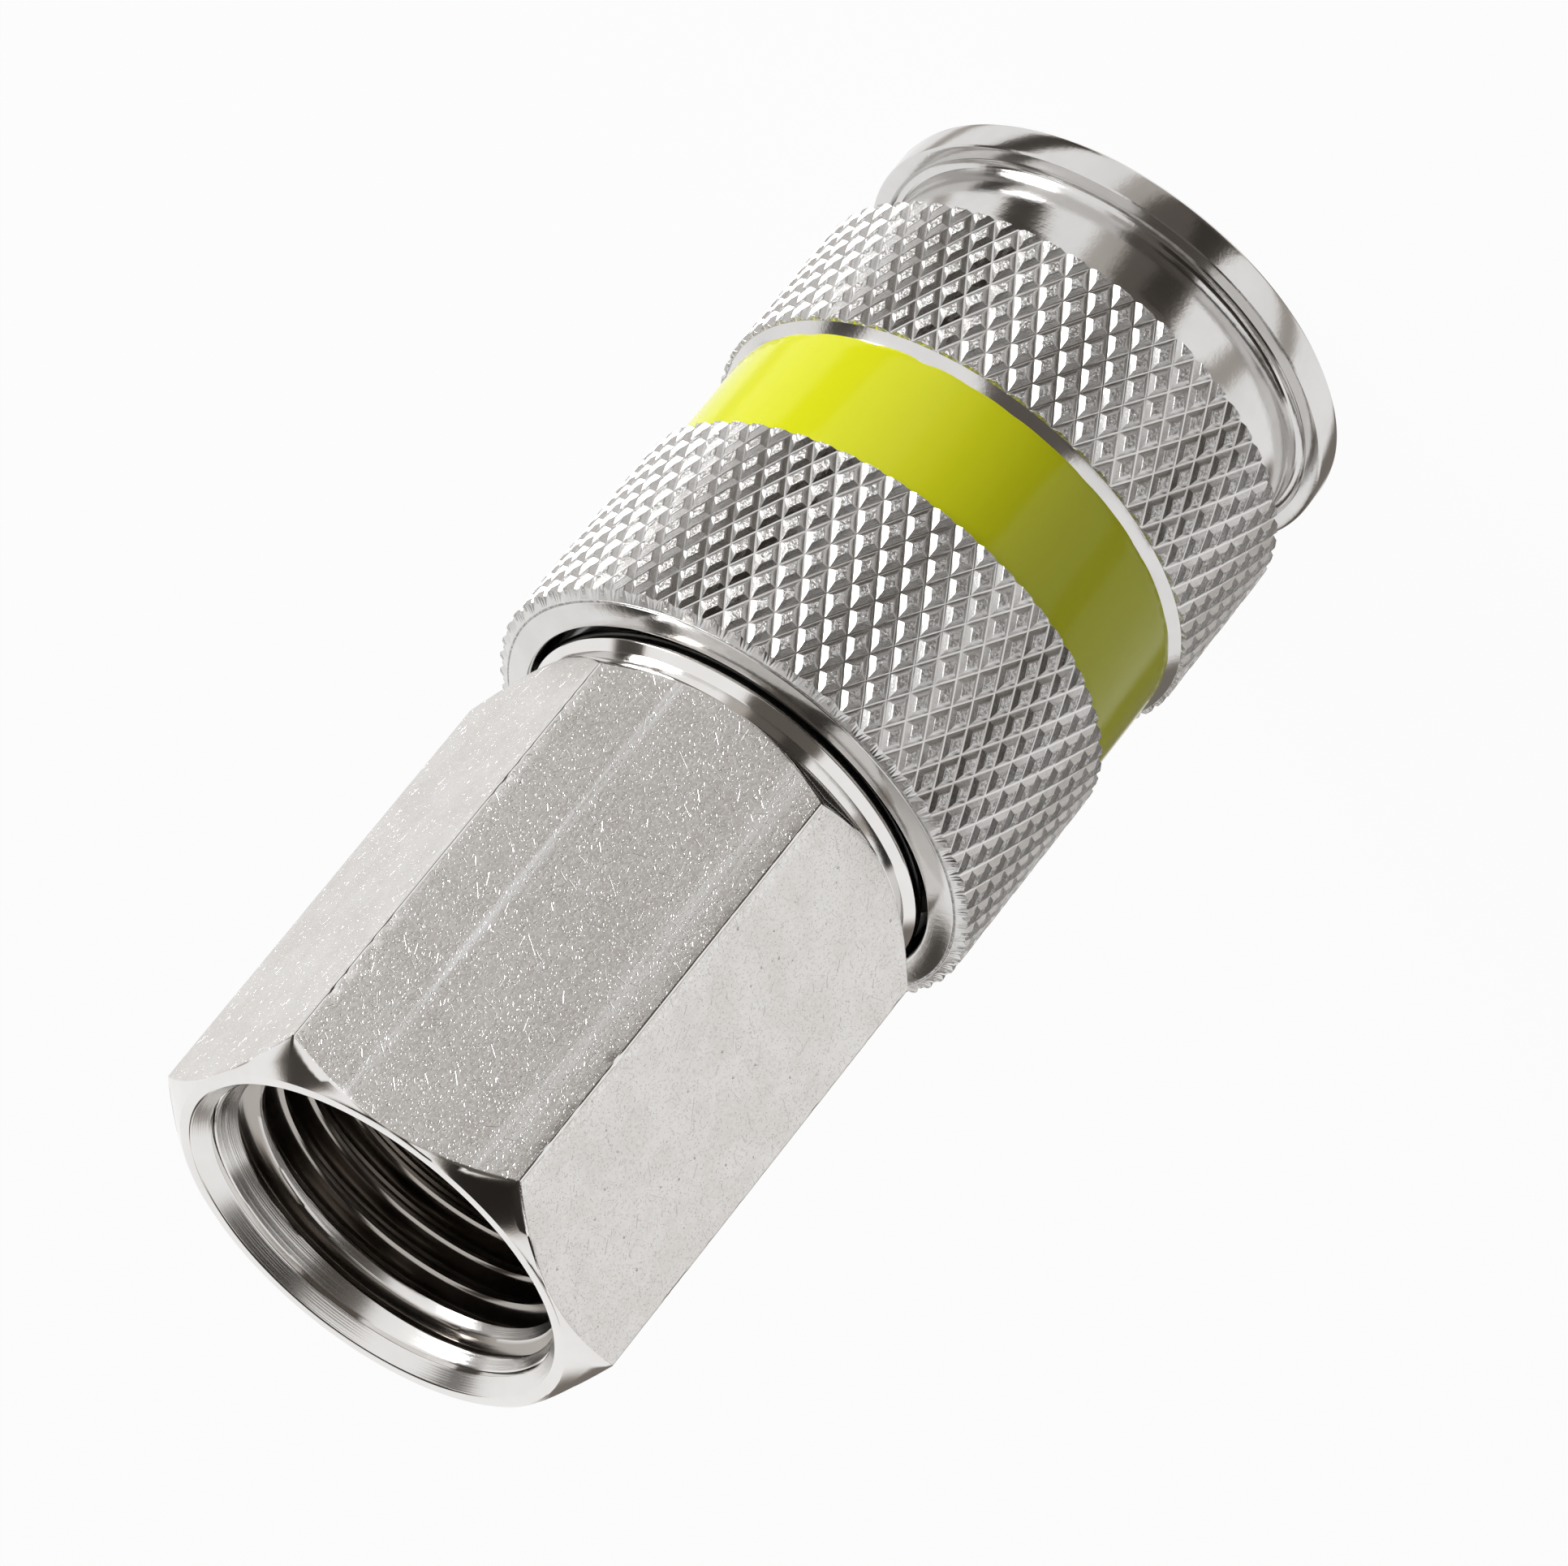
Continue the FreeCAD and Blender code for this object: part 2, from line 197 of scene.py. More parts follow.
def mesh_object(name, points, faces, material, smooth_angle=30.0, values=None):
    """A shaded mesh with its double points merged; edges sharper than smooth_angle stay sharp."""
    mesh = bpy.data.meshes.new(name)
    mesh.from_pydata(points, [], faces)
    for key, numbers in (values or {}).items():
        mesh.attributes.new(key, "FLOAT", "POINT").data.foreach_set("value", numbers)
    cleaner = bmesh.new()
    cleaner.from_mesh(mesh)
    bmesh.ops.remove_doubles(cleaner, verts=cleaner.verts, dist=1e-7)
    bmesh.ops.recalc_face_normals(cleaner, faces=cleaner.faces)
    cleaner.to_mesh(mesh)
    cleaner.free()
    mesh.materials.append(material)
    mesh.shade_smooth()
    mesh.set_sharp_from_angle(angle=math.radians(smooth_angle))
    thing = bpy.data.objects.new(name, mesh)
    bpy.context.scene.collection.objects.link(thing)
    return thing


def ring(radius, height, angles):
    """One level ring of points."""
    return [(radius * math.cos(a), radius * math.sin(a), height) for a in angles]


def rounded(profile, size, steps=3):
    """A profile with its corners rounded; each corner may give its own size as a third value."""
    out = []
    for k, point in enumerate(profile):
        here = Vector(point[:2])
        before = Vector(profile[k - 1][:2])
        after = Vector(profile[(k + 1) % len(profile)][:2])
        own = point[2] if len(point) > 2 else size
        reach = min(own, 0.45 * (here - before).length, 0.45 * (after - here).length)
        start = here + (before - here).normalized() * reach
        end = here + (after - here).normalized() * reach
        if reach < 1e-6:
            out.append((here.x, here.y))
            continue
        for step in range(steps + 1):
            t = step / steps
            p = start * (1 - t) ** 2 + here * 2 * t * (1 - t) + end * t**2
            out.append((p.x, p.y))
    return out


# Hexagon tail

def hexagon_columns():
    """Round the hexagon: each column's direction, reach, share of the corner and place on its flat."""
    apothem = ACROSS_FLATS / 2
    corner_middle = (apothem - CORNER_ROUND) / math.cos(math.radians(30))
    half_flat = corner_middle * math.sin(math.radians(30))
    columns = []
    for side in range(6):
        middle = math.radians(30 + 60 * side)
        for step in range(FLAT_STEPS):
            across = half_flat * (2 * step / FLAT_STEPS - 1)
            angle = middle + math.atan2(across, apothem)
            columns.append((angle, math.hypot(apothem, across), 0.0, across))
        for step in range(CORNER_STEPS):
            turn = math.radians(60 * step / CORNER_STEPS - 30)
            x = corner_middle + CORNER_ROUND * math.cos(turn)
            y = CORNER_ROUND * math.sin(turn)
            share = step / CORNER_STEPS
            across = half_flat + share if share < 0.5 else share - 1.0 - half_flat
            angle = middle + math.radians(30) + math.atan2(y, x)
            columns.append((angle, math.hypot(x, y), math.cos(3 * turn), across))
    return columns


def thread_radius(angle, height):
    """The wall of the bore: a rounded 55 degree thread that runs out at its lower end."""
    place = (height / THREAD_PITCH - angle / (2 * math.pi)) % 1.0
    from_crest = abs(place - 0.5) * 2.0
    sharp = (from_crest - THREAD_ROUND) / (1.0 - 2.0 * THREAD_ROUND)
    share = 0.5 - 0.5 * math.cos(math.pi * min(max(sharp, 0.0), 1.0))
    blend = (1.0 - THREAD_SOFTNESS) * min(max(sharp, 0.0), 1.0) + THREAD_SOFTNESS * share
    runout = min(max((height - THREAD_LOW - RUNOUT_START) / RUNOUT_LENGTH, 0.0), 1.0)
    return THREAD_MINOR + (THREAD_MAJOR - THREAD_MINOR) * blend * runout


def hexagon_tail(material):
    """Collar, hexagon, mouth and threaded bore in one skin, from the bore's lower end round to it."""
    random.seed(4)
    columns = hexagon_columns()
    count = len(columns)
    angles = [c[0] for c in columns]
    apothem = ACROSS_FLATS / 2
    corner_radius = ACROSS_FLATS / math.sqrt(3.0)
    upper_slope = (corner_radius - END_FACE_RADIUS) / REAR_CHAMFER
    lower_slope = (corner_radius - apothem) / FRONT_CHAMFER
    nicks = [[] for _ in range(6)]
    for along_corner in nicks:
        for _ in range(NICKS):
            place = random.uniform(HEXAGON_LOW + 2.5, TAIL_HIGH - 2.0)
            along_corner.append((place, random.uniform(0.05, 0.3), random.uniform(0.2, 1.0)))
    points = []
    values = {"across": [], "flat": [], "cone": [], "bored": []}

    def note(across, flat=0.0, cone=0.0, bored=0.0):
        """What the material reads at the points of one row; a number stands for the whole row."""
        for key, numbers in (("across", across), ("flat", flat), ("cone", cone), ("bored", bored)):
            values[key] += numbers if isinstance(numbers, list) else [numbers] * len(across)

    def add(make, **kind):
        """One ring of points; make gives a column's radius and height."""
        for index, column in enumerate(columns):
            radius, height = make(column, index)
            points.append((radius * math.cos(column[0]), radius * math.sin(column[0]), height))
        note([c[3] for c in columns], **kind)

    def turned(profile, **kind):
        """Level rings, one for each radius and height of the profile."""
        for radius, height in profile:
            add(lambda c, i, r=radius, z=height: (r, z), **kind)

    def worn(column, height, index):
        """The flat's reach, with nicks along the edges."""
        _, reach, corner, _ = column
        if corner <= 0.0:
            return reach
        loss = sum(
            deep * max(0.0, 1.0 - abs(height - place) / wide)
            for place, wide, deep in nicks[index // (FLAT_STEPS + CORNER_STEPS)]
        )
        return reach - NICK_DEPTH * min(loss, 1.3) * corner

    def lower_crease(column):
        return HEXAGON_LOW + (column[1] - apothem) / lower_slope

    def upper_crease(column):
        return TAIL_HIGH - (column[1] - END_FACE_RADIUS) / upper_slope

    passage = [
        (THREAD_MINOR, THREAD_LOW),
        (PASSAGE_RADIUS + 0.15, PASSAGE_HIGH + 0.17),
        (PASSAGE_RADIUS, PASSAGE_HIGH),
        (PASSAGE_RADIUS, PASSAGE_LOW + 0.1),
        (PASSAGE_RADIUS + 0.1, PASSAGE_LOW),
        (SEAT_RADIUS, PASSAGE_LOW),
        (SEAT_RADIUS, SOCKET_HIGH),
        (SOCKET_RADIUS, SOCKET_HIGH),
        (SOCKET_RADIUS, TAIL_LOW),
    ]
    neck = COLLAR_RADIUS - COLLAR_BEVEL
    collar = [
        (COLLAR_RADIUS - 0.4, TAIL_LOW),
        (COLLAR_RADIUS - 0.12, TAIL_LOW + 0.12),
        (COLLAR_RADIUS, TAIL_LOW + 0.4),
        (COLLAR_RADIUS, COLLAR_TOP - 0.06),
        (COLLAR_RADIUS - 0.03, COLLAR_TOP),
        (neck + 0.04, COLLAR_TOP + COLLAR_BEVEL - 0.05),
        (neck, COLLAR_TOP + COLLAR_BEVEL + 0.03),
        (neck, HEXAGON_LOW - 0.1),
        (neck + 0.06, HEXAGON_LOW - 0.03),
    ]
    turned(passage, bored=1.0)
    turned(collar)
    for share in (0.02, 0.5, 0.9):
        add(
            lambda c, i, s=share: (
                apothem + (c[1] - apothem) * s,
                HEXAGON_LOW + (lower_crease(c) - HEXAGON_LOW) * s,
            )
        )

    def on_flat(column, index, share):
        low = lower_crease(column) + CREASE
        height = low + (upper_crease(column) - CREASE - low) * share
        return worn(column, height, index), height

    for step in range(LENGTH_STEPS + 1):
        add(lambda c, i, s=step / LENGTH_STEPS: on_flat(c, i, s), flat=[1.0 - c[2] for c in columns])
    for share in (0.12, 0.5, 0.85):
        add(
            lambda c, i, s=share: (
                c[1] + (END_FACE_RADIUS - c[1]) * s,
                upper_crease(c) + (TAIL_HIGH - 0.03 - upper_crease(c)) * s,
            )
        )
    turned([(END_FACE_RADIUS - 0.05, TAIL_HIGH - 0.01), (END_FACE_RADIUS - 0.18, TAIL_HIGH)])

    ring_high = TAIL_HIGH - COUNTERSINK_DEPTH
    ring_low = ring_high - MOUTH_RING_WIDTH
    turned([(MOUTH_RADIUS + 0.12, TAIL_HIGH), (MOUTH_RADIUS + 0.02, TAIL_HIGH - 0.03)])
    turned(
        [(MOUTH_RADIUS - 0.03, TAIL_HIGH - 0.07), (COUNTERSINK_RADIUS + 0.04, ring_high + 0.05)],
        cone=1.0,
    )
    turned(
        [
            (COUNTERSINK_RADIUS, ring_high + 0.01),
            (COUNTERSINK_RADIUS + 0.02, ring_high - 0.02),
            (MOUTH_RING_RADIUS - 0.02, ring_high - 0.03),
            (MOUTH_RING_RADIUS, ring_low + 0.03),
            (LEAD_IN_RADIUS + 0.02, ring_low + 0.01),
        ]
    )
    thread_top = ring_low - 0.05

    def bore_radius(angle, height):
        """The thread's wall, cut away by the lead-in cone."""
        cone = LEAD_IN_RADIUS - (ring_low - height) * LEAD_IN_SLOPE
        return max(thread_radius(angle, height), cone)

    add(lambda c, i: (bore_radius(c[0], thread_top), thread_top), cone=1.0)
    faces = quads(len(points) // count, count)

    # The wall's rows follow the helix, and the last column meets the first one turn further on
    first = len(points)
    drop = THREAD_PITCH / THREAD_STEPS
    thread_rows = math.ceil((thread_top + THREAD_PITCH - THREAD_LOW) / drop) + 1
    wound = angles + [angles[0] + 2 * math.pi]
    for row in range(thread_rows):
        cones, bored = [], []
        for angle in wound:
            height = thread_top - row * drop + THREAD_PITCH * (angle - angles[0]) / (2 * math.pi)
            height = min(max(height, THREAD_LOW), thread_top)
            radius = bore_radius(angle, height)
            points.append((radius * math.cos(angle), radius * math.sin(angle), height))
            on_cone = 1.0 if radius > thread_radius(angle, height) + 1e-6 else 0.0
            cones.append(on_cone)
            bored.append(1.0 - on_cone)
        note([c[3] for c in columns] + [columns[0][3]], cone=cones, bored=bored)
    faces += quads(thread_rows, len(wound), first, closed=False)
    return mesh_object(
        "hexagon_tail_metal", [Vector(p) * MM for p in points], faces, material, 24.0, values
    )


# Sleeve

def sleeve(material):
    """The release sleeve with both knurled bands."""
    random.seed(11)
    count = 2 * DIAMONDS * DIAMOND_CUTS
    angles = [2 * math.pi * k / count for k in range(count)]
    rows, offsets, lines_of = [], [], []

    def plain(profile):
        for radius, height in profile:
            rows.append(ring(radius, height, angles))
            offsets.append([PLAIN] * count)
            lines_of.append(None)

    def knurl(start, lines, most=lambda height: KNURL_RADIUS):
        """Two families of V grooves; each square of the lattice holds one stretch of a groove.

        most gives the largest radius at a height, where the band is turned down.
        """
        for step in range(lines * DIAMOND_CUTS + 1):
            line, part = divmod(step, DIAMOND_CUTS)
            v = part / DIAMOND_CUTS
            height = start + step * DIAMOND_HALF / DIAMOND_CUTS
            row, away = [], []
            for k, angle in enumerate(angles):
                column, across = divmod(k, DIAMOND_CUTS)
                u = across / DIAMOND_CUTS
                off = abs(u - v) if (line + column) % 2 == 0 else abs(u + v - 1.0)
                radius = KNURL_RADIUS - KNURL_DEPTH * (1.0 - min(off / PLATEAU, 1.0))
                radius += random.uniform(-1, 0) * (GROOVE_UNEVEN if off == 0.0 else TOP_UNEVEN)
                turned_down = radius > most(height)
                radius = min(radius, most(height))
                row.append((radius * math.cos(angle), radius * math.sin(angle), height))
                away.append(FLANK if turned_down else off)
            rows.append(row)
            offsets.append(away)
            lines_of.append(line if step < lines * DIAMOND_CUTS else None)

    def rising(i, j):
        """Squares of the knurl are split along their groove."""
        if lines_of[i] is None:
            return None
        return (lines_of[i] + j // DIAMOND_CUTS) % 2 == 0

    front_low, front_lines = FRONT_KNURL
    rear_low, rear_lines = REAR_KNURL
    front_high = front_low + front_lines * DIAMOND_HALF
    rear_edge = SLEEVE_TOP - REAR_EDGE_DROP
    plain(
        rounded(
            [
                (REAR_EDGE_RADIUS, rear_edge, 0.06),
                (BORE_RADIUS + 0.12, SLEEVE_TOP, 0.05),
                (BORE_RADIUS, SLEEVE_TOP - 0.12, 0.05),
                (BORE_RADIUS, SPRING_SEAT, 0.05),
                (BALL_RING_RADIUS, SPRING_SEAT, 0.05),
                (BALL_RING_RADIUS, BALL_RING_LOW, 0.05),
                (FRONT_BORE_RADIUS, FRONT_BORE_HIGH, 0.05),
                (FRONT_BORE_RADIUS, MOUTH_BORE_HIGH, 0.05),
                (MOUTH_BORE_RADIUS, MOUTH_BORE_HIGH, 0.05),
                (MOUTH_BORE_RADIUS, 0.4, 0.1),
                (MOUTH_BORE_RADIUS + 0.4, 0.0, 0.1),
                (RIM_RADIUS, 0.0, 0.55),
                (RIM_RADIUS, 2.0, 0.22),
                (13.45, 2.05, 0.10),
                (13.30, 1.85, 0.12),
                (12.86, 2.00, 0.25),
                (12.72, 2.55, 0.45),
                (12.92, 4.6, 1.0),
                (13.22, 6.55, 0.3),
                (13.9, front_low - 0.1, 0.15),
            ],
            0.05,
        )
    )
    knurl(front_low, front_lines)
    plain(
        rounded(
            [
                (KNURL_RADIUS - KNURL_DEPTH, front_high + 0.02, 0.02),
                (GROOVE_RADIUS, BAND_LOW - 0.05, 0.1),
                (GROOVE_RADIUS, BAND_HIGH + 0.05, 0.05),
                (KNURL_RADIUS - KNURL_DEPTH, rear_low - 0.05, 0.03),
            ],
            0.05,
        )
    )
    knurl(rear_low, rear_lines, lambda height: REAR_EDGE_RADIUS + (rear_edge - height) * REAR_END_SLOPE)
    numbers = [number for away in offsets for number in away]
    return grid_object("sleeve_metal", rows, material, 12.0, rising, {"groove": numbers})


def lacquer_band(material):
    """Lacquer that fills the groove, with a slightly wavy front edge."""
    random.seed(5)
    angles = [2 * math.pi * k / BAND_STEPS for k in range(BAND_STEPS)]
    waves = [(random.randint(5, 34), random.uniform(0, 6.28), random.uniform(0.2, 1.0)) for _ in range(9)]
    total = sum(w[2] for w in waves)

    def wave(angle):
        return sum(size * math.sin(turns * angle + shift) for turns, shift, size in waves) / total

    profile = [
        (GROOVE_RADIUS - 0.02, 0.0),
        (BAND_RADIUS - 0.06, 0.0),
        (BAND_RADIUS - 0.02, 0.03),
        (BAND_RADIUS, 0.10),
        (BAND_RADIUS, 0.5),
        (BAND_RADIUS, 0.9),
        (BAND_RADIUS - 0.03, 0.98),
        (BAND_RADIUS - 0.07, 1.0),
        (GROOVE_RADIUS - 0.02, 1.0),
    ]
    rows = []
    for radius, share in profile:
        row = []
        for angle in angles:
            low = BAND_LOW - BAND_LAP + BAND_WAVE * wave(angle)
            height = low + (BAND_HIGH - low) * share
            row.append((radius * math.cos(angle), radius * math.sin(angle), height))
        rows.append(row)
    return grid_object("lacquer_ring", rows, material, 40.0)


# Springs

def coil(name, spring, material):
    """A round-wire spring with closed end coils."""
    radius, wire, turns, low, high = spring
    closed = 2 * wire + 0.05
    travel = high - low - 2 * wire
    open_pitch = (travel - 2 * closed) / (turns - 2)
    steps = int(turns * COIL_STEPS)
    rows = []
    for step in range(steps + 1):
        turn = turns * step / steps
        shut = min(turn, 1.0) + max(turn - (turns - 1.0), 0.0)
        height = low + wire + shut * closed + (turn - shut) * open_pitch
        around = 2 * math.pi * turn
        rows.append(
            [
                (
                    (radius + wire * math.cos(b)) * math.cos(around),
                    (radius + wire * math.cos(b)) * math.sin(around),
                    height + wire * math.sin(b),
                )
                for b in (2 * math.pi * side / WIRE_SIDES for side in range(WIRE_SIDES))
            ]
        )
    points = [Vector(p) * MM for row in rows for p in row]
    ends = [tuple(range(WIRE_SIDES)), tuple(range(steps * WIRE_SIDES, (steps + 1) * WIRE_SIDES))]
    faces = ends + quads(steps + 1, WIRE_SIDES)
    return mesh_object(name, points, faces, material, 50.0)


# Materials

class Shader:
    """A node material that is put together line by line."""

    def __init__(self, name):
        self.material = bpy.data.materials.new(name)
        self.material.use_nodes = True
        self.tree = self.material.node_tree
        self.tree.nodes.clear()
        self.output = self.tree.nodes.new("ShaderNodeOutputMaterial")
        self.surface = self.node("ShaderNodeBsdfPrincipled")
        self.link(self.surface.outputs["BSDF"], self.output.inputs["Surface"])

    def link(self, a, b):
        self.tree.links.new(a, b)

    def node(self, kind, inputs=None, **settings):
        made = self.tree.nodes.new(kind)
        for key, value in settings.items():
            setattr(made, key, value)
        for key, value in (inputs or {}).items():
            self.put(made.inputs[key], value)
        return made

    def put(self, socket, value):
        if isinstance(value, bpy.types.NodeSocket):
            self.link(value, socket)
        else:
            socket.default_value = value

    def set(self, **inputs):
        for key, value in inputs.items():
            self.put(self.surface.inputs[key.replace("_", " ")], value)

    def place(self):
        return self.node("ShaderNodeTexCoord").outputs["Object"]

    def mapped(self, vector, scale):
        return self.node("ShaderNodeMapping", {"Vector": vector, "Scale": scale}).outputs["Vector"]

    def noise(self, vector, scale, detail=2.0, roughness=0.5):
        return self.node(
            "ShaderNodeTexNoise",
            {"Vector": vector, "Scale": scale, "Detail": detail, "Roughness": roughness},
        ).outputs["Fac"]

    def value(self, name):
        """A number that the mesh holds for each of its points."""
        return self.node("ShaderNodeAttribute", attribute_name=name).outputs["Fac"]

    def ranged(self, value, low, high, to_low=0.0, to_high=1.0, smooth=True):
        made = self.node(
            "ShaderNodeMapRange",
            {"Value": value, "From Min": low, "From Max": high, "To Min": to_low, "To Max": to_high},
        )
        made.interpolation_type = "SMOOTHSTEP" if smooth else "LINEAR"
        return made.outputs["Result"]

    def math(self, operation, a, b=0.0):
        made = self.node("ShaderNodeMath", operation=operation)
        self.put(made.inputs[0], a)
        self.put(made.inputs[1], b)
        return made.outputs[0]

    def mix(self, factor, a, b):
        made = self.node("ShaderNodeMix", data_type="RGBA")
        self.put(made.inputs["Factor"], factor)
        self.put(made.inputs["A"], a)
        self.put(made.inputs["B"], b)
        return made.outputs["Result"]

    def bump(self, height, strength, distance, normal=None):
        inputs = {"Height": height, "Strength": strength, "Distance": distance}
        if normal is not None:
            inputs["Normal"] = normal
        return self.node("ShaderNodeBump", inputs).outputs["Normal"]

    def blend_vectors(self, factor, a, b):
        made = self.node("ShaderNodeMix", data_type="VECTOR")
        self.put(made.inputs[0], factor)
        self.put(made.inputs[4], a)
        self.put(made.inputs[5], b)
        return made.outputs[1]

    def cell(self, flat, pitch):
        """One random mark a cell: the way from its middle, turned at random, and random numbers."""
        cells = self.node(
            "ShaderNodeTexVoronoi", {"Vector": flat, "Scale": 1.0 / pitch}, voronoi_dimensions="2D"
        )
        away = self.node("ShaderNodeVectorMath", operation="SUBTRACT")
        self.put(away.inputs[0], flat)
        self.put(away.inputs[1], cells.outputs["Position"])
        chance = self.node("ShaderNodeSeparateColor", {"Color": cells.outputs["Color"]})
        angle = self.math("MULTIPLY", chance.outputs["Red"], 2 * math.pi)
        turned = self.node("ShaderNodeVectorRotate", {"Vector": away.outputs[0], "Angle": angle})
        split = self.node("ShaderNodeSeparateXYZ", {"Vector": turned.outputs["Vector"]})
        return split.outputs["X"], split.outputs["Y"], chance.outputs["Green"], chance.outputs["Blue"]

    def scratches(self, flat, pitch, length, width):
        """Short straight scratches that lie every way, one at most in each cell."""
        x, y, size, keep = self.cell(flat, pitch)
        reach = self.ranged(size, 0.0, 1.0, 0.3 * length, length, smooth=False)
        along = self.ranged(self.math("SUBTRACT", self.math("ABSOLUTE", x), reach), 0.03, -0.03)
        beside = self.ranged(self.math("ABSOLUTE", y), 1.6 * width, 0.3 * width)
        return self.math("MULTIPLY", self.math("MULTIPLY", along, beside), self.ranged(keep, 0.25, 0.75))

    def pits(self, flat, pitch, radius):
        """Small round dents, in some of the cells."""
        x, y, size, keep = self.cell(flat, pitch)
        away = self.math("SQRT", self.math("ADD", self.math("POWER", x, 2.0), self.math("POWER", y, 2.0)))
        own = self.ranged(size, 0.0, 1.0, 0.3 * radius, radius, smooth=False)
        deep = self.ranged(self.math("DIVIDE", away, own), 1.0, 0.3)
        return self.math("MULTIPLY", deep, self.ranged(keep, 0.72, 0.8))

    def streak(self, across, middle, half):
        """A soft line along the bar, at its place across the flat."""
        away = self.math("ABSOLUTE", self.math("SUBTRACT", across, middle))
        return self.ranged(away, half, 0.2 * half)

    def turned(self, base, roughness, lines, mottle):
        """Plated metal off the lathe, with fine lines round the axis and a cloudy gloss."""
        turned = self.turned_place()
        fine = self.noise(turned, 9000.0, 3.0, 0.7)
        broad = self.noise(turned, 1400.0, 2.0)
        cloud = self.noise(self.place(), 260.0, 4.0, 0.6)
        specks = self.noise(self.place(), 2600.0, 3.0, 0.6)
        marks = self.math("ADD", self.math("MULTIPLY", fine, 0.6), self.math("MULTIPLY", broad, 0.4))
        haze = self.math("ADD", self.math("MULTIPLY", cloud, mottle), self.math("MULTIPLY", marks, 0.06))
        darker = tuple(0.93 * c for c in base[:3]) + (1.0,)
        self.set(
            Base_Color=self.mix(self.ranged(cloud, 0.3, 0.7), base, darker),
            Metallic=1.0,
            Roughness=self.math("ADD", haze, roughness),
            Normal=self.bump(specks, 0.12, 0.00004, self.bump(marks, lines, 0.00003)),
        )

    def turned_place(self):
        """Radius and height of a point, so that what follows it runs round the axis."""
        split = self.node("ShaderNodeSeparateXYZ", {"Vector": self.place()})
        x, y, z = (split.outputs[k] for k in range(3))
        squares = self.math("ADD", self.math("MULTIPLY", x, x), self.math("MULTIPLY", y, y))
        radius = self.math("SQRT", squares)
        return self.node("ShaderNodeCombineXYZ", {"X": radius, "Y": z}).outputs["Vector"]


def grey(level, warm=0.0):
    """A grey, warmer where warm is above zero."""
    return (level + warm, level, level - warm, 1.0)


def plated_metal(name, base, roughness, lines=0.25, mottle=0.08):
    """Nickel plate over turned metal: fine lines round the axis, and a slightly cloudy gloss."""
    s = Shader(name)
    s.turned(base, roughness, lines, mottle)
    return s.material


def sleeve_metal():
    """The sleeve's plate, with flat-bottomed grooves and grainy tops where it is knurled."""
    s = Shader("sleeve_nickel")
    away = s.value("groove")
    knurled = s.ranged(away, 0.99, 0.97)
    top = s.math("MULTIPLY", s.ranged(away, 0.44, 0.62), knurled)
    place = s.place()
    s.turned(grey(0.70, 0.012), 0.02, 0.12, 0.10)
    smooth_normal = s.surface.inputs["Normal"].links[0].from_socket
    smooth_colour = s.surface.inputs["Base Color"].links[0].from_socket
    haze = s.surface.inputs["Roughness"].links[0].from_socket
    satin = s.ranged(knurled, 0.0, 1.0, 0.05, 0.0)
    bottom = s.math("MAXIMUM", s.math("SUBTRACT", GROOVE_FLAT, away), 0.0)
    scores = s.node(
        "ShaderNodeTexNoise",
        {"Vector": place, "W": s.math("MULTIPLY", away, 11.0), "Scale": 300.0},
        noise_dimensions="4D",
    ).outputs["Fac"]
    grains = s.noise(place, 4600.0, 4.0, 0.8)
    rough_top = s.math("MULTIPLY", grains, s.ranged(top, 0.0, 1.0, 0.0006, 0.085))
    height = s.math("ADD", s.math("MULTIPLY", bottom, KNURL_DEPTH / PLATEAU), rough_top)
    height = s.math("ADD", height, s.math("MULTIPLY", scores, 0.003))
    grainy = s.mix(s.ranged(grains, 0.42, 0.58), grey(0.34, 0.02), grey(0.70))
    satin = s.math("ADD", satin, s.math("MULTIPLY", top, 0.04))
    s.set(
        Base_Color=s.mix(top, smooth_colour, grainy),
        Roughness=s.math("ADD", s.math("MULTIPLY", haze, 0.8), satin),
        Normal=s.blend_vectors(knurled, smooth_normal, s.bump(height, 1.0, MM)),
    )
    return s.material


# The front flat's own marks, among them streaks whitened as a painted glint, fade in between these
# distances from the axis
FRONT_FLAT_FROM = 11.0
FRONT_FLAT_FULL = 11.8

# Scratches on the flats: pitch of the cells, longest half length, half width
SCRATCHES = [
    (1.15, 0.42, 0.020),
    (0.50, 0.15, 0.018),
    (2.6, 0.7, 0.014),
    (0.30, 0.08, 0.020),
    (0.21, 0.05, 0.020),
]


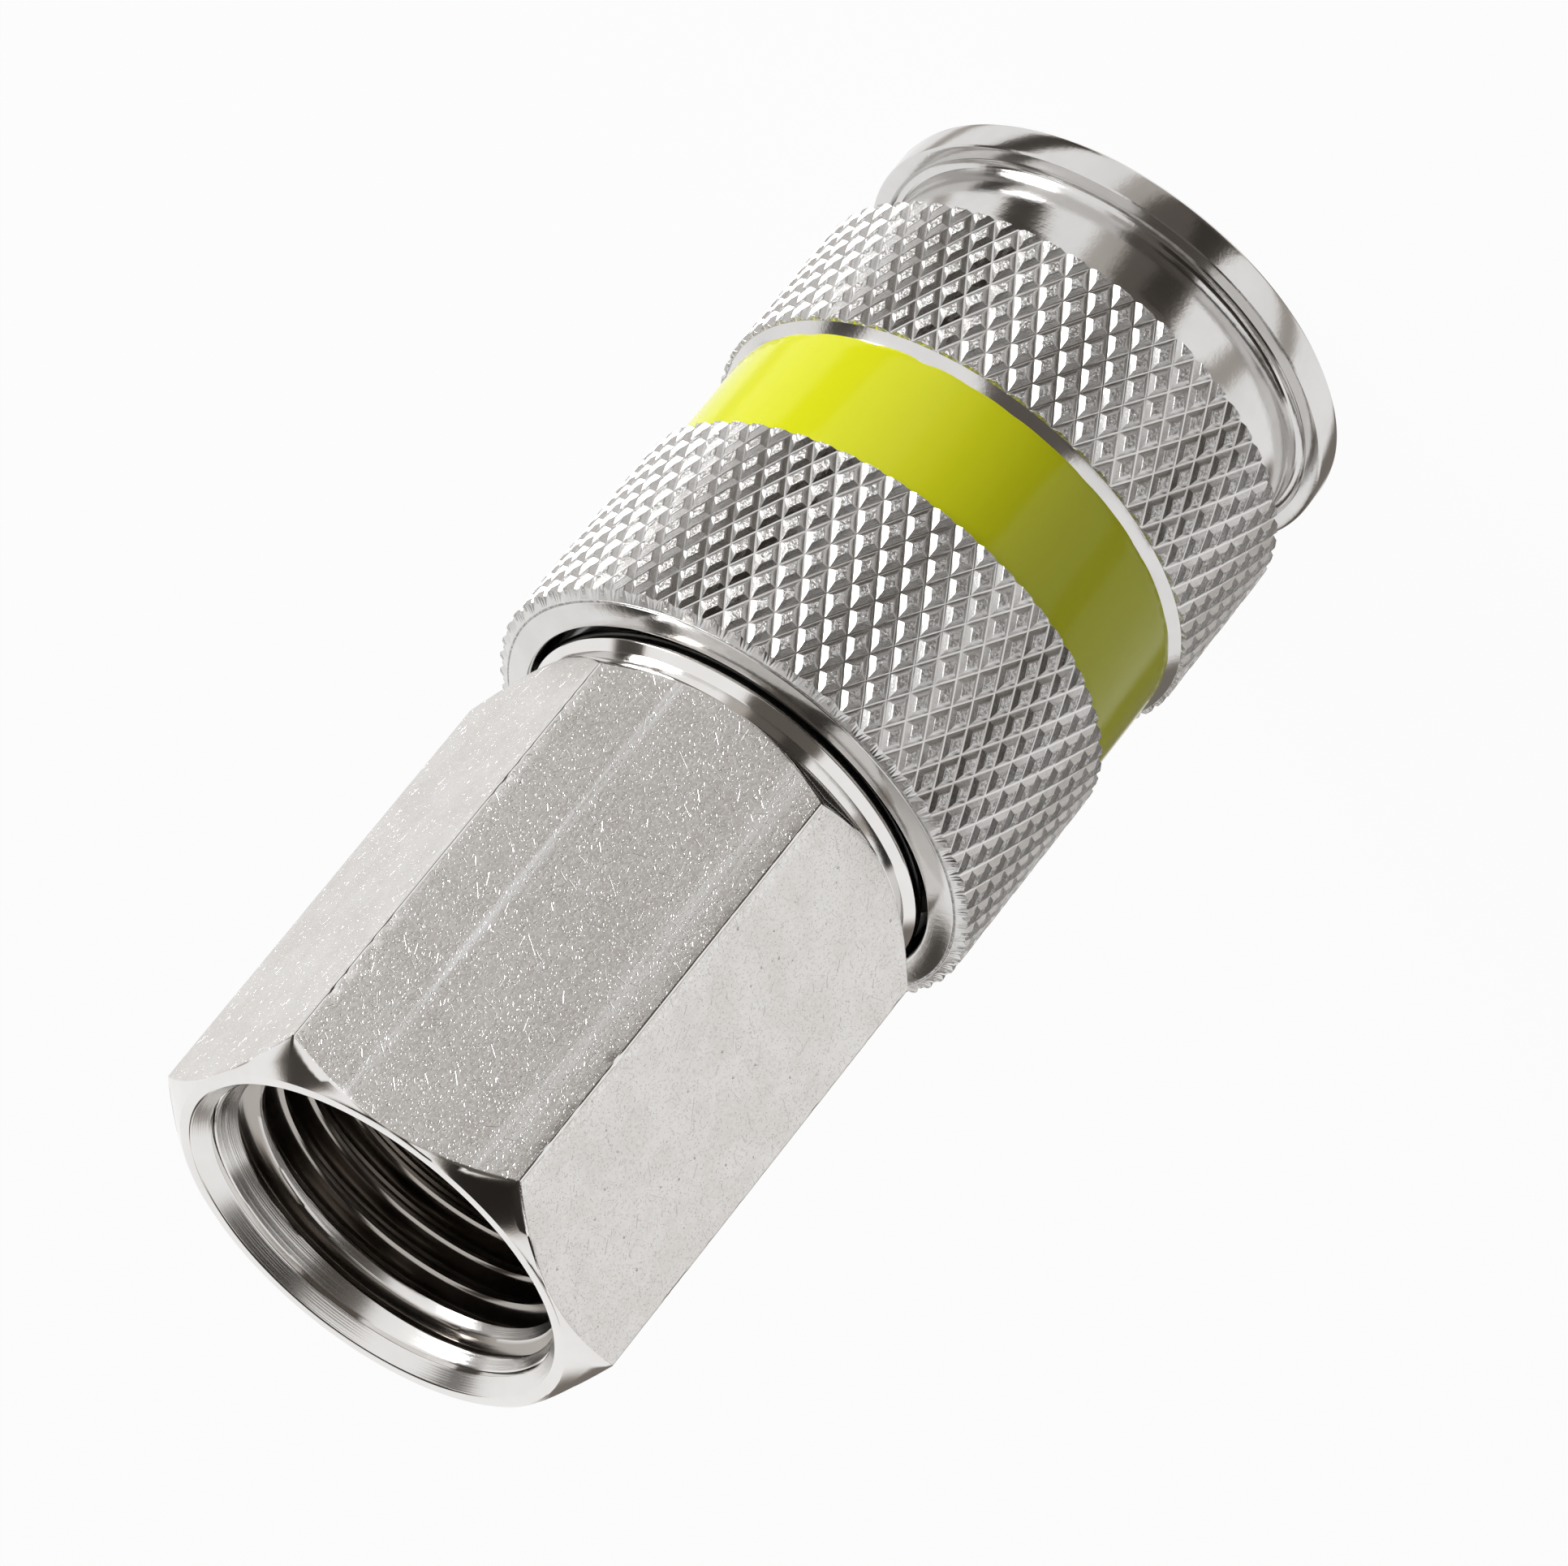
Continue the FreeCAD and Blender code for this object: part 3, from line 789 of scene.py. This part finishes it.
def hexagon_metal():
    """Bright nickel over drawn bar: satin flats with draw marks, pits and short scratches, the scratches
    and front streaks whitened as a painted glint, and the threaded bore darkened as painted shade.
    """
    s = Shader("hexagon_nickel")
    place = s.place()
    split = s.node("ShaderNodeSeparateXYZ", {"Vector": place})
    high = s.math("DIVIDE", split.outputs["Z"], MM)
    front = s.ranged(split.outputs["Y"], -FRONT_FLAT_FROM * MM, -FRONT_FLAT_FULL * MM)
    across = s.value("across")
    flat = s.node("ShaderNodeCombineXYZ", {"X": across, "Y": high}).outputs["Vector"]
    sides = s.ranged(s.value("flat"), 0.6, 1.0)
    cone = s.value("cone")
    bored = s.value("bored")

    drawn = s.noise(s.mapped(flat, scale=(1.0, 0.03, 1.0)), 3.2, 5.0, 0.62)
    grain = s.noise(place, 7500.0, 4.0, 0.7)
    cloud = s.noise(place, 380.0, 3.0, 0.6)
    specks = s.ranged(s.noise(place, 4600.0, 4.0, 0.75), 0.44, 0.60)
    marks = s.scratches(flat, *SCRATCHES[0])
    for kind in SCRATCHES[1:]:
        marks = s.math("MAXIMUM", marks, s.scratches(flat, *kind))
    marks = s.math("MULTIPLY", marks, sides)
    pits = s.math("MULTIPLY", s.pits(flat, 1.5, 0.10), sides)
    broad = s.math("MULTIPLY", s.streak(across, -5.0, 1.0), 0.7)
    lines = s.math("MAXIMUM", s.streak(across, 2.85, 0.45), broad)
    lines = s.math("MULTIPLY", lines, s.ranged(drawn, 0.36, 0.6, 0.25, 1.0))
    lines = s.math("MULTIPLY", lines, s.math("MULTIPLY", sides, front))
    rings = s.noise(s.turned_place(), 5200.0, 3.0, 0.65)

    relief = s.math("MULTIPLY", s.math("MULTIPLY", drawn, sides), 0.006)
    relief = s.math("ADD", relief, s.math("MULTIPLY", grain, s.ranged(sides, 0.0, 1.0, 0.001, 0.007)))
    relief = s.math("SUBTRACT", relief, s.math("MULTIPLY", marks, 0.013))
    relief = s.math("SUBTRACT", relief, s.math("MULTIPLY", pits, 0.05))
    lathed = s.math("ADD", s.math("MULTIPLY", cone, 0.014), s.math("MULTIPLY", bored, 0.004))
    relief = s.math("ADD", relief, s.math("MULTIPLY", rings, lathed))

    colour = s.mix(s.ranged(cloud, 0.35, 0.65), grey(0.67, 0.026), grey(0.74, 0.020))
    off_sides = s.ranged(sides, 0.0, 1.0, 1.0, 0.0)
    colour = s.mix(s.math("MULTIPLY", off_sides, 0.6), colour, grey(0.82, 0.012))
    specks = s.math("MULTIPLY", s.math("MULTIPLY", specks, sides), s.ranged(front, 0.0, 1.0, 0.2, 0.8))
    colour = s.mix(specks, colour, grey(0.92, 0.01))
    # Painted shade: the threaded bore's colour is darkened so that it reads as shaded inside
    colour = s.mix(bored, colour, grey(0.38, 0.03))
    # Painted glint: the scratches (real wear, also cut in by the relief) and the front flat's streaks
    # along the bar are whitened towards near white so that they look lit
    worn = s.math("MAXIMUM", s.math("MULTIPLY", marks, 0.75), s.math("MULTIPLY", lines, 0.85))
    colour = s.mix(worn, colour, grey(0.95))

    satin_worn = s.math("SUBTRACT", s.math("MULTIPLY", lines, 0.15), s.math("MULTIPLY", marks, 0.08))
    satin = s.math("ADD", s.math("MULTIPLY", cloud, 0.06), s.ranged(sides, 0.0, 1.0, 0.07, 0.31))
    satin = s.math("ADD", satin, s.math("MULTIPLY", cone, 0.12))
    satin = s.math("ADD", satin, s.math("MULTIPLY", bored, 0.05))
    s.set(
        Base_Color=colour,
        Metallic=1.0,
        Roughness=s.math("ADD", satin, satin_worn),
        Normal=s.bump(relief, 1.0, MM),
    )
    return s.material


def lacquer():
    """Glossy yellow lacquer with faint dimples."""
    s = Shader("yellow_lacquer")
    dimples = s.noise(s.place(), 420.0, 3.0, 0.5)
    s.set(
        Base_Color=(0.70, 0.72, 0.012, 1.0),
        Roughness=0.13,
        Specular_IOR_Level=0.28,
        Normal=s.bump(dimples, 0.08, 0.0002),
    )
    return s.material


def rubber(name, colour):
    """Matt rubber or fibre with a fine grain."""
    s = Shader(name)
    grain = s.noise(s.place(), 3000.0, 4.0, 0.6)
    s.set(
        Base_Color=s.mix(grain, colour, tuple(1.6 * c for c in colour[:3]) + (1.0,)),
        Roughness=s.ranged(grain, 0.2, 0.8, 0.45, 0.7),
        Normal=s.bump(grain, 0.1, 0.0001),
    )
    return s.material


NICKEL_SLEEVE = sleeve_metal()
NICKEL_BODY = plated_metal("body_nickel", grey(0.70, 0.01), 0.2)
SPRING_STEEL = plated_metal("spring_steel", grey(0.42), 0.28)
BALL_STEEL = plated_metal("ball_steel", grey(0.72), 0.08, lines=0.02)
BRASS = plated_metal("turned_brass", (0.72, 0.52, 0.24, 1.0), 0.22)
HEXAGON_NICKEL = hexagon_metal()
LACQUER = lacquer()
SEAL_RUBBER = rubber("seal_rubber", (0.02, 0.02, 0.021, 1.0))
GASKET_FIBRE = rubber("gasket_fibre", (0.22, 0.05, 0.035, 1.0))


# Pieces

def dress(piece, body, slot, *nodes):
    """Tells the frame what a piece rides on and which nodes it stands for; slot is not used."""
    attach(piece, body)
    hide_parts(*nodes)
    return piece


def repaint(material, *nodes):
    """Gives the solids that are shown as they are their material."""
    for name in nodes:
        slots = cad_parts[name].data.materials
        slots.clear()
        slots.append(material)


dress(hexagon_tail(HEXAGON_NICKEL), "body", "nickel_hexagon", "hexagon_tail")
dress(sleeve(NICKEL_SLEEVE), "sleeve", "nickel_sleeve", "sleeve")
dress(lacquer_band(LACQUER), "sleeve", "yellow_lacquer", "lacquer_band")
sleeve_coil = dress(
    coil("sleeve_coil", SLEEVE_SPRING, SPRING_STEEL), "spring_end", "spring_steel", "sleeve_spring"
)
valve_coil = dress(
    coil("valve_coil", VALVE_SPRING, SPRING_STEEL), "valve", "spring_steel", "valve_spring"
)
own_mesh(sleeve_coil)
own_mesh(valve_coil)
repaint(NICKEL_BODY, "socket_body")
repaint(SPRING_STEEL, "retaining_ring")
repaint(BALL_STEEL, *("locking_ball_%d" % k for k in range(1, 7)))
repaint(BRASS, "valve_poppet")
repaint(SEAL_RUBBER, "plug_seal", "valve_seal")
repaint(GASKET_FIBRE, "body_gasket")


# Studio

WHITE = (1.0, 1.0, 1.0, 1.0)
FLOOR_WHITENING = 0.955


def direction(azimuth, elevation):
    """From the part outwards: azimuth 0 is the front, and turns towards +X."""
    a, e = math.radians(azimuth), math.radians(elevation)
    return Vector((math.sin(a) * math.cos(e), -math.cos(a) * math.cos(e), math.sin(e)))


def camera():
    """The camera at the photograph's angle."""
    back = direction(CAMERA_AZIMUTH, CAMERA_ELEVATION)
    level = Vector((0, 0, 1)).cross(back).normalized()
    above = back.cross(level)
    turn = math.radians(CAMERA_ROLL)
    right = level * math.cos(turn) + above * math.sin(turn)
    up = above * math.cos(turn) - level * math.sin(turn)
    data = bpy.data.cameras.new("camera")
    data.lens = CAMERA_LENS
    data.sensor_width = SENSOR_WIDTH
    data.clip_start = 0.01
    thing = bpy.data.objects.new("camera", data)
    turned = Matrix((right, up, back)).transposed().to_4x4()
    thing.matrix_world = Matrix.Translation(AIM + back * CAMERA_DISTANCE) @ turned
    bpy.context.scene.collection.objects.link(thing)
    bpy.context.scene.camera = thing


def floor():
    """A white floor that keeps the part's shadow."""
    bpy.ops.mesh.primitive_plane_add(size=6.0)
    plane = bpy.context.object
    plane.name = "floor"
    s = Shader("floor_white")
    s.set(Base_Color=grey(0.9), Roughness=0.9)
    glow = s.node("ShaderNodeEmission", {"Color": WHITE, "Strength": 1.0})
    path = s.node("ShaderNodeLightPath")
    whiten = s.math("MULTIPLY", path.outputs["Is Camera Ray"], FLOOR_WHITENING)
    blend = s.node("ShaderNodeMixShader")
    s.put(blend.inputs[0], whiten)
    s.put(blend.inputs[1], s.surface.outputs["BSDF"])
    s.put(blend.inputs[2], glow.outputs["Emission"])
    s.link(blend.outputs["Shader"], s.output.inputs["Surface"])
    plane.data.materials.append(s.material)
    plane.visible_glossy = False


# Dark flags round the white studio: two ends as (azimuth, elevation), half width and softness in
# degrees, and the level that they bring
FLAGS = [
    ((-160, -50), (-95, -62), 12.0, 10, 0.4),
    ((95, -56), (150, -42), 10.0, 10, 0.55),
    ((-40, -72), (60, -64), 9.0, 5, 0.05),
    ((-11, -70), (-13, 62), 19.0, 4, 0.12),
    ((-24, -50), (-24, -8), 7.0, 4, 0.05),
    ((-106, 5), (-8, 9), 13.0, 5, 0.03),
    ((13, -60), (13, 0), 6.0, 6, 0.5),
    ((56, -55), (97, 56), 8.5, 5, 0.06),
    ((-104, 43), (-32, 60), 10.0, 5, 0.03),
    ((-95, 62), (-20, 78), 12.0, 6, 0.02),
    ((118, 50), (-138, 58), 17.0, 8, 0.03),
    ((165, 57), (-178, 49), 4.5, 3, 0.03),
    ((161, 56), (151, 48), 3.4, 2, 1.0),
    ((-176, 12), (-176, 33), 5.0, 5, 0.06),
    ((-177, 38), (-178, 44), 5.0, 5, 0.3),
    ((-165, -60), (-160, 14), 16.0, 8, 0.2),
    ((-78, -60), (-78, -5), 6.0, 6, 0.42),
    ((117, -50), (117, 0), 5.0, 5, 0.45),
]
FLAG_TINT = (1.0, 0.87, 0.75, 1.0)
SOFT_LIGHT = 0.5


def studio_world():
    """A white studio: the flags show in the metal, and the camera sees plain white."""
    world = bpy.data.worlds.new("studio")
    bpy.context.scene.world = world
    world.use_nodes = True
    tree = world.node_tree
    tree.nodes.clear()

    def node(kind, **settings):
        made = tree.nodes.new(kind)
        for key, value in settings.items():
            setattr(made, key, value)
        return made

    def put(socket, value):
        if isinstance(value, bpy.types.NodeSocket):
            tree.links.new(value, socket)
        else:
            socket.default_value = value

    def number(operation, a, b):
        made = node("ShaderNodeMath", operation=operation)
        put(made.inputs[0], a)
        put(made.inputs[1], b)
        return made.outputs[0]

    ray = node("ShaderNodeTexCoord").outputs["Generated"]

    def against(vector):
        dot = node("ShaderNodeVectorMath", operation="DOT_PRODUCT")
        put(dot.inputs[0], ray)
        put(dot.inputs[1], vector)
        return dot.outputs["Value"]

    def fade(value, start, end):
        made = node("ShaderNodeMapRange", interpolation_type="SMOOTHSTEP")
        put(made.inputs["Value"], value)
        put(made.inputs["From Min"], start)
        put(made.inputs["From Max"], end)
        return made.outputs["Result"]

    level = 1.0
    for first, second, width, soft, brings in FLAGS:
        a, b = direction(*first), direction(*second)
        reach = a.angle(b) / 2
        off = number("ABSOLUTE", against(a.cross(b).normalized()), 0.0)
        inner = math.sin(math.radians(width - soft / 2))
        outer = math.sin(math.radians(width + soft / 2))
        soft_end = math.radians(soft / 2)
        along = fade(against((a + b).normalized()), math.cos(reach + soft_end), math.cos(reach - soft_end))
        mixed = node("ShaderNodeMix", data_type="FLOAT")
        put(mixed.inputs["Factor"], number("MULTIPLY", fade(off, outer, inner), along))
        put(mixed.inputs["A"], level)
        put(mixed.inputs["B"], brings)
        level = mixed.outputs["Result"]

    tint = node("ShaderNodeMix", data_type="RGBA")
    put(tint.inputs["Factor"], level)
    put(tint.inputs["A"], FLAG_TINT)
    put(tint.inputs["B"], WHITE)
    path = node("ShaderNodeLightPath")
    mirrored = number("MAXIMUM", path.outputs["Is Glossy Ray"], path.outputs["Is Transmission Ray"])
    soft_studio = node("ShaderNodeBackground")
    put(soft_studio.inputs["Color"], tint.outputs["Result"])
    put(soft_studio.inputs["Strength"], number("MULTIPLY", level, SOFT_LIGHT))
    lit = node("ShaderNodeMix", data_type="RGBA")
    put(lit.inputs["Factor"], path.outputs["Is Camera Ray"])
    put(lit.inputs["A"], tint.outputs["Result"])
    put(lit.inputs["B"], WHITE)
    white = node("ShaderNodeBackground")
    put(white.inputs["Color"], lit.outputs["Result"])
    put(white.inputs["Strength"], number("MAXIMUM", level, path.outputs["Is Camera Ray"]))
    mixed = node("ShaderNodeMixShader")
    put(mixed.inputs[0], number("MAXIMUM", path.outputs["Is Camera Ray"], mirrored))
    put(mixed.inputs[1], soft_studio.outputs[0])
    put(mixed.inputs[2], white.outputs[0])
    put(node("ShaderNodeOutputWorld").inputs["Surface"], mixed.outputs[0])


def soft_box(name, azimuth, elevation, distance, size, power):
    """A round soft light that shines at the part."""
    light = bpy.data.lights.new(name, "AREA")
    light.shape = "DISK"
    light.size = size
    light.energy = power
    thing = bpy.data.objects.new(name, light)
    away = direction(azimuth, elevation)
    turned = away.to_track_quat("Z", "Y").to_matrix().to_4x4()
    thing.matrix_world = Matrix.Translation(AIM + away * distance) @ turned
    bpy.context.scene.collection.objects.link(thing)


camera()
floor()
studio_world()
soft_box("key_light", azimuth=60, elevation=5, distance=0.5, size=0.25, power=2.4)
bpy.context.scene.view_settings.view_transform = "Standard"
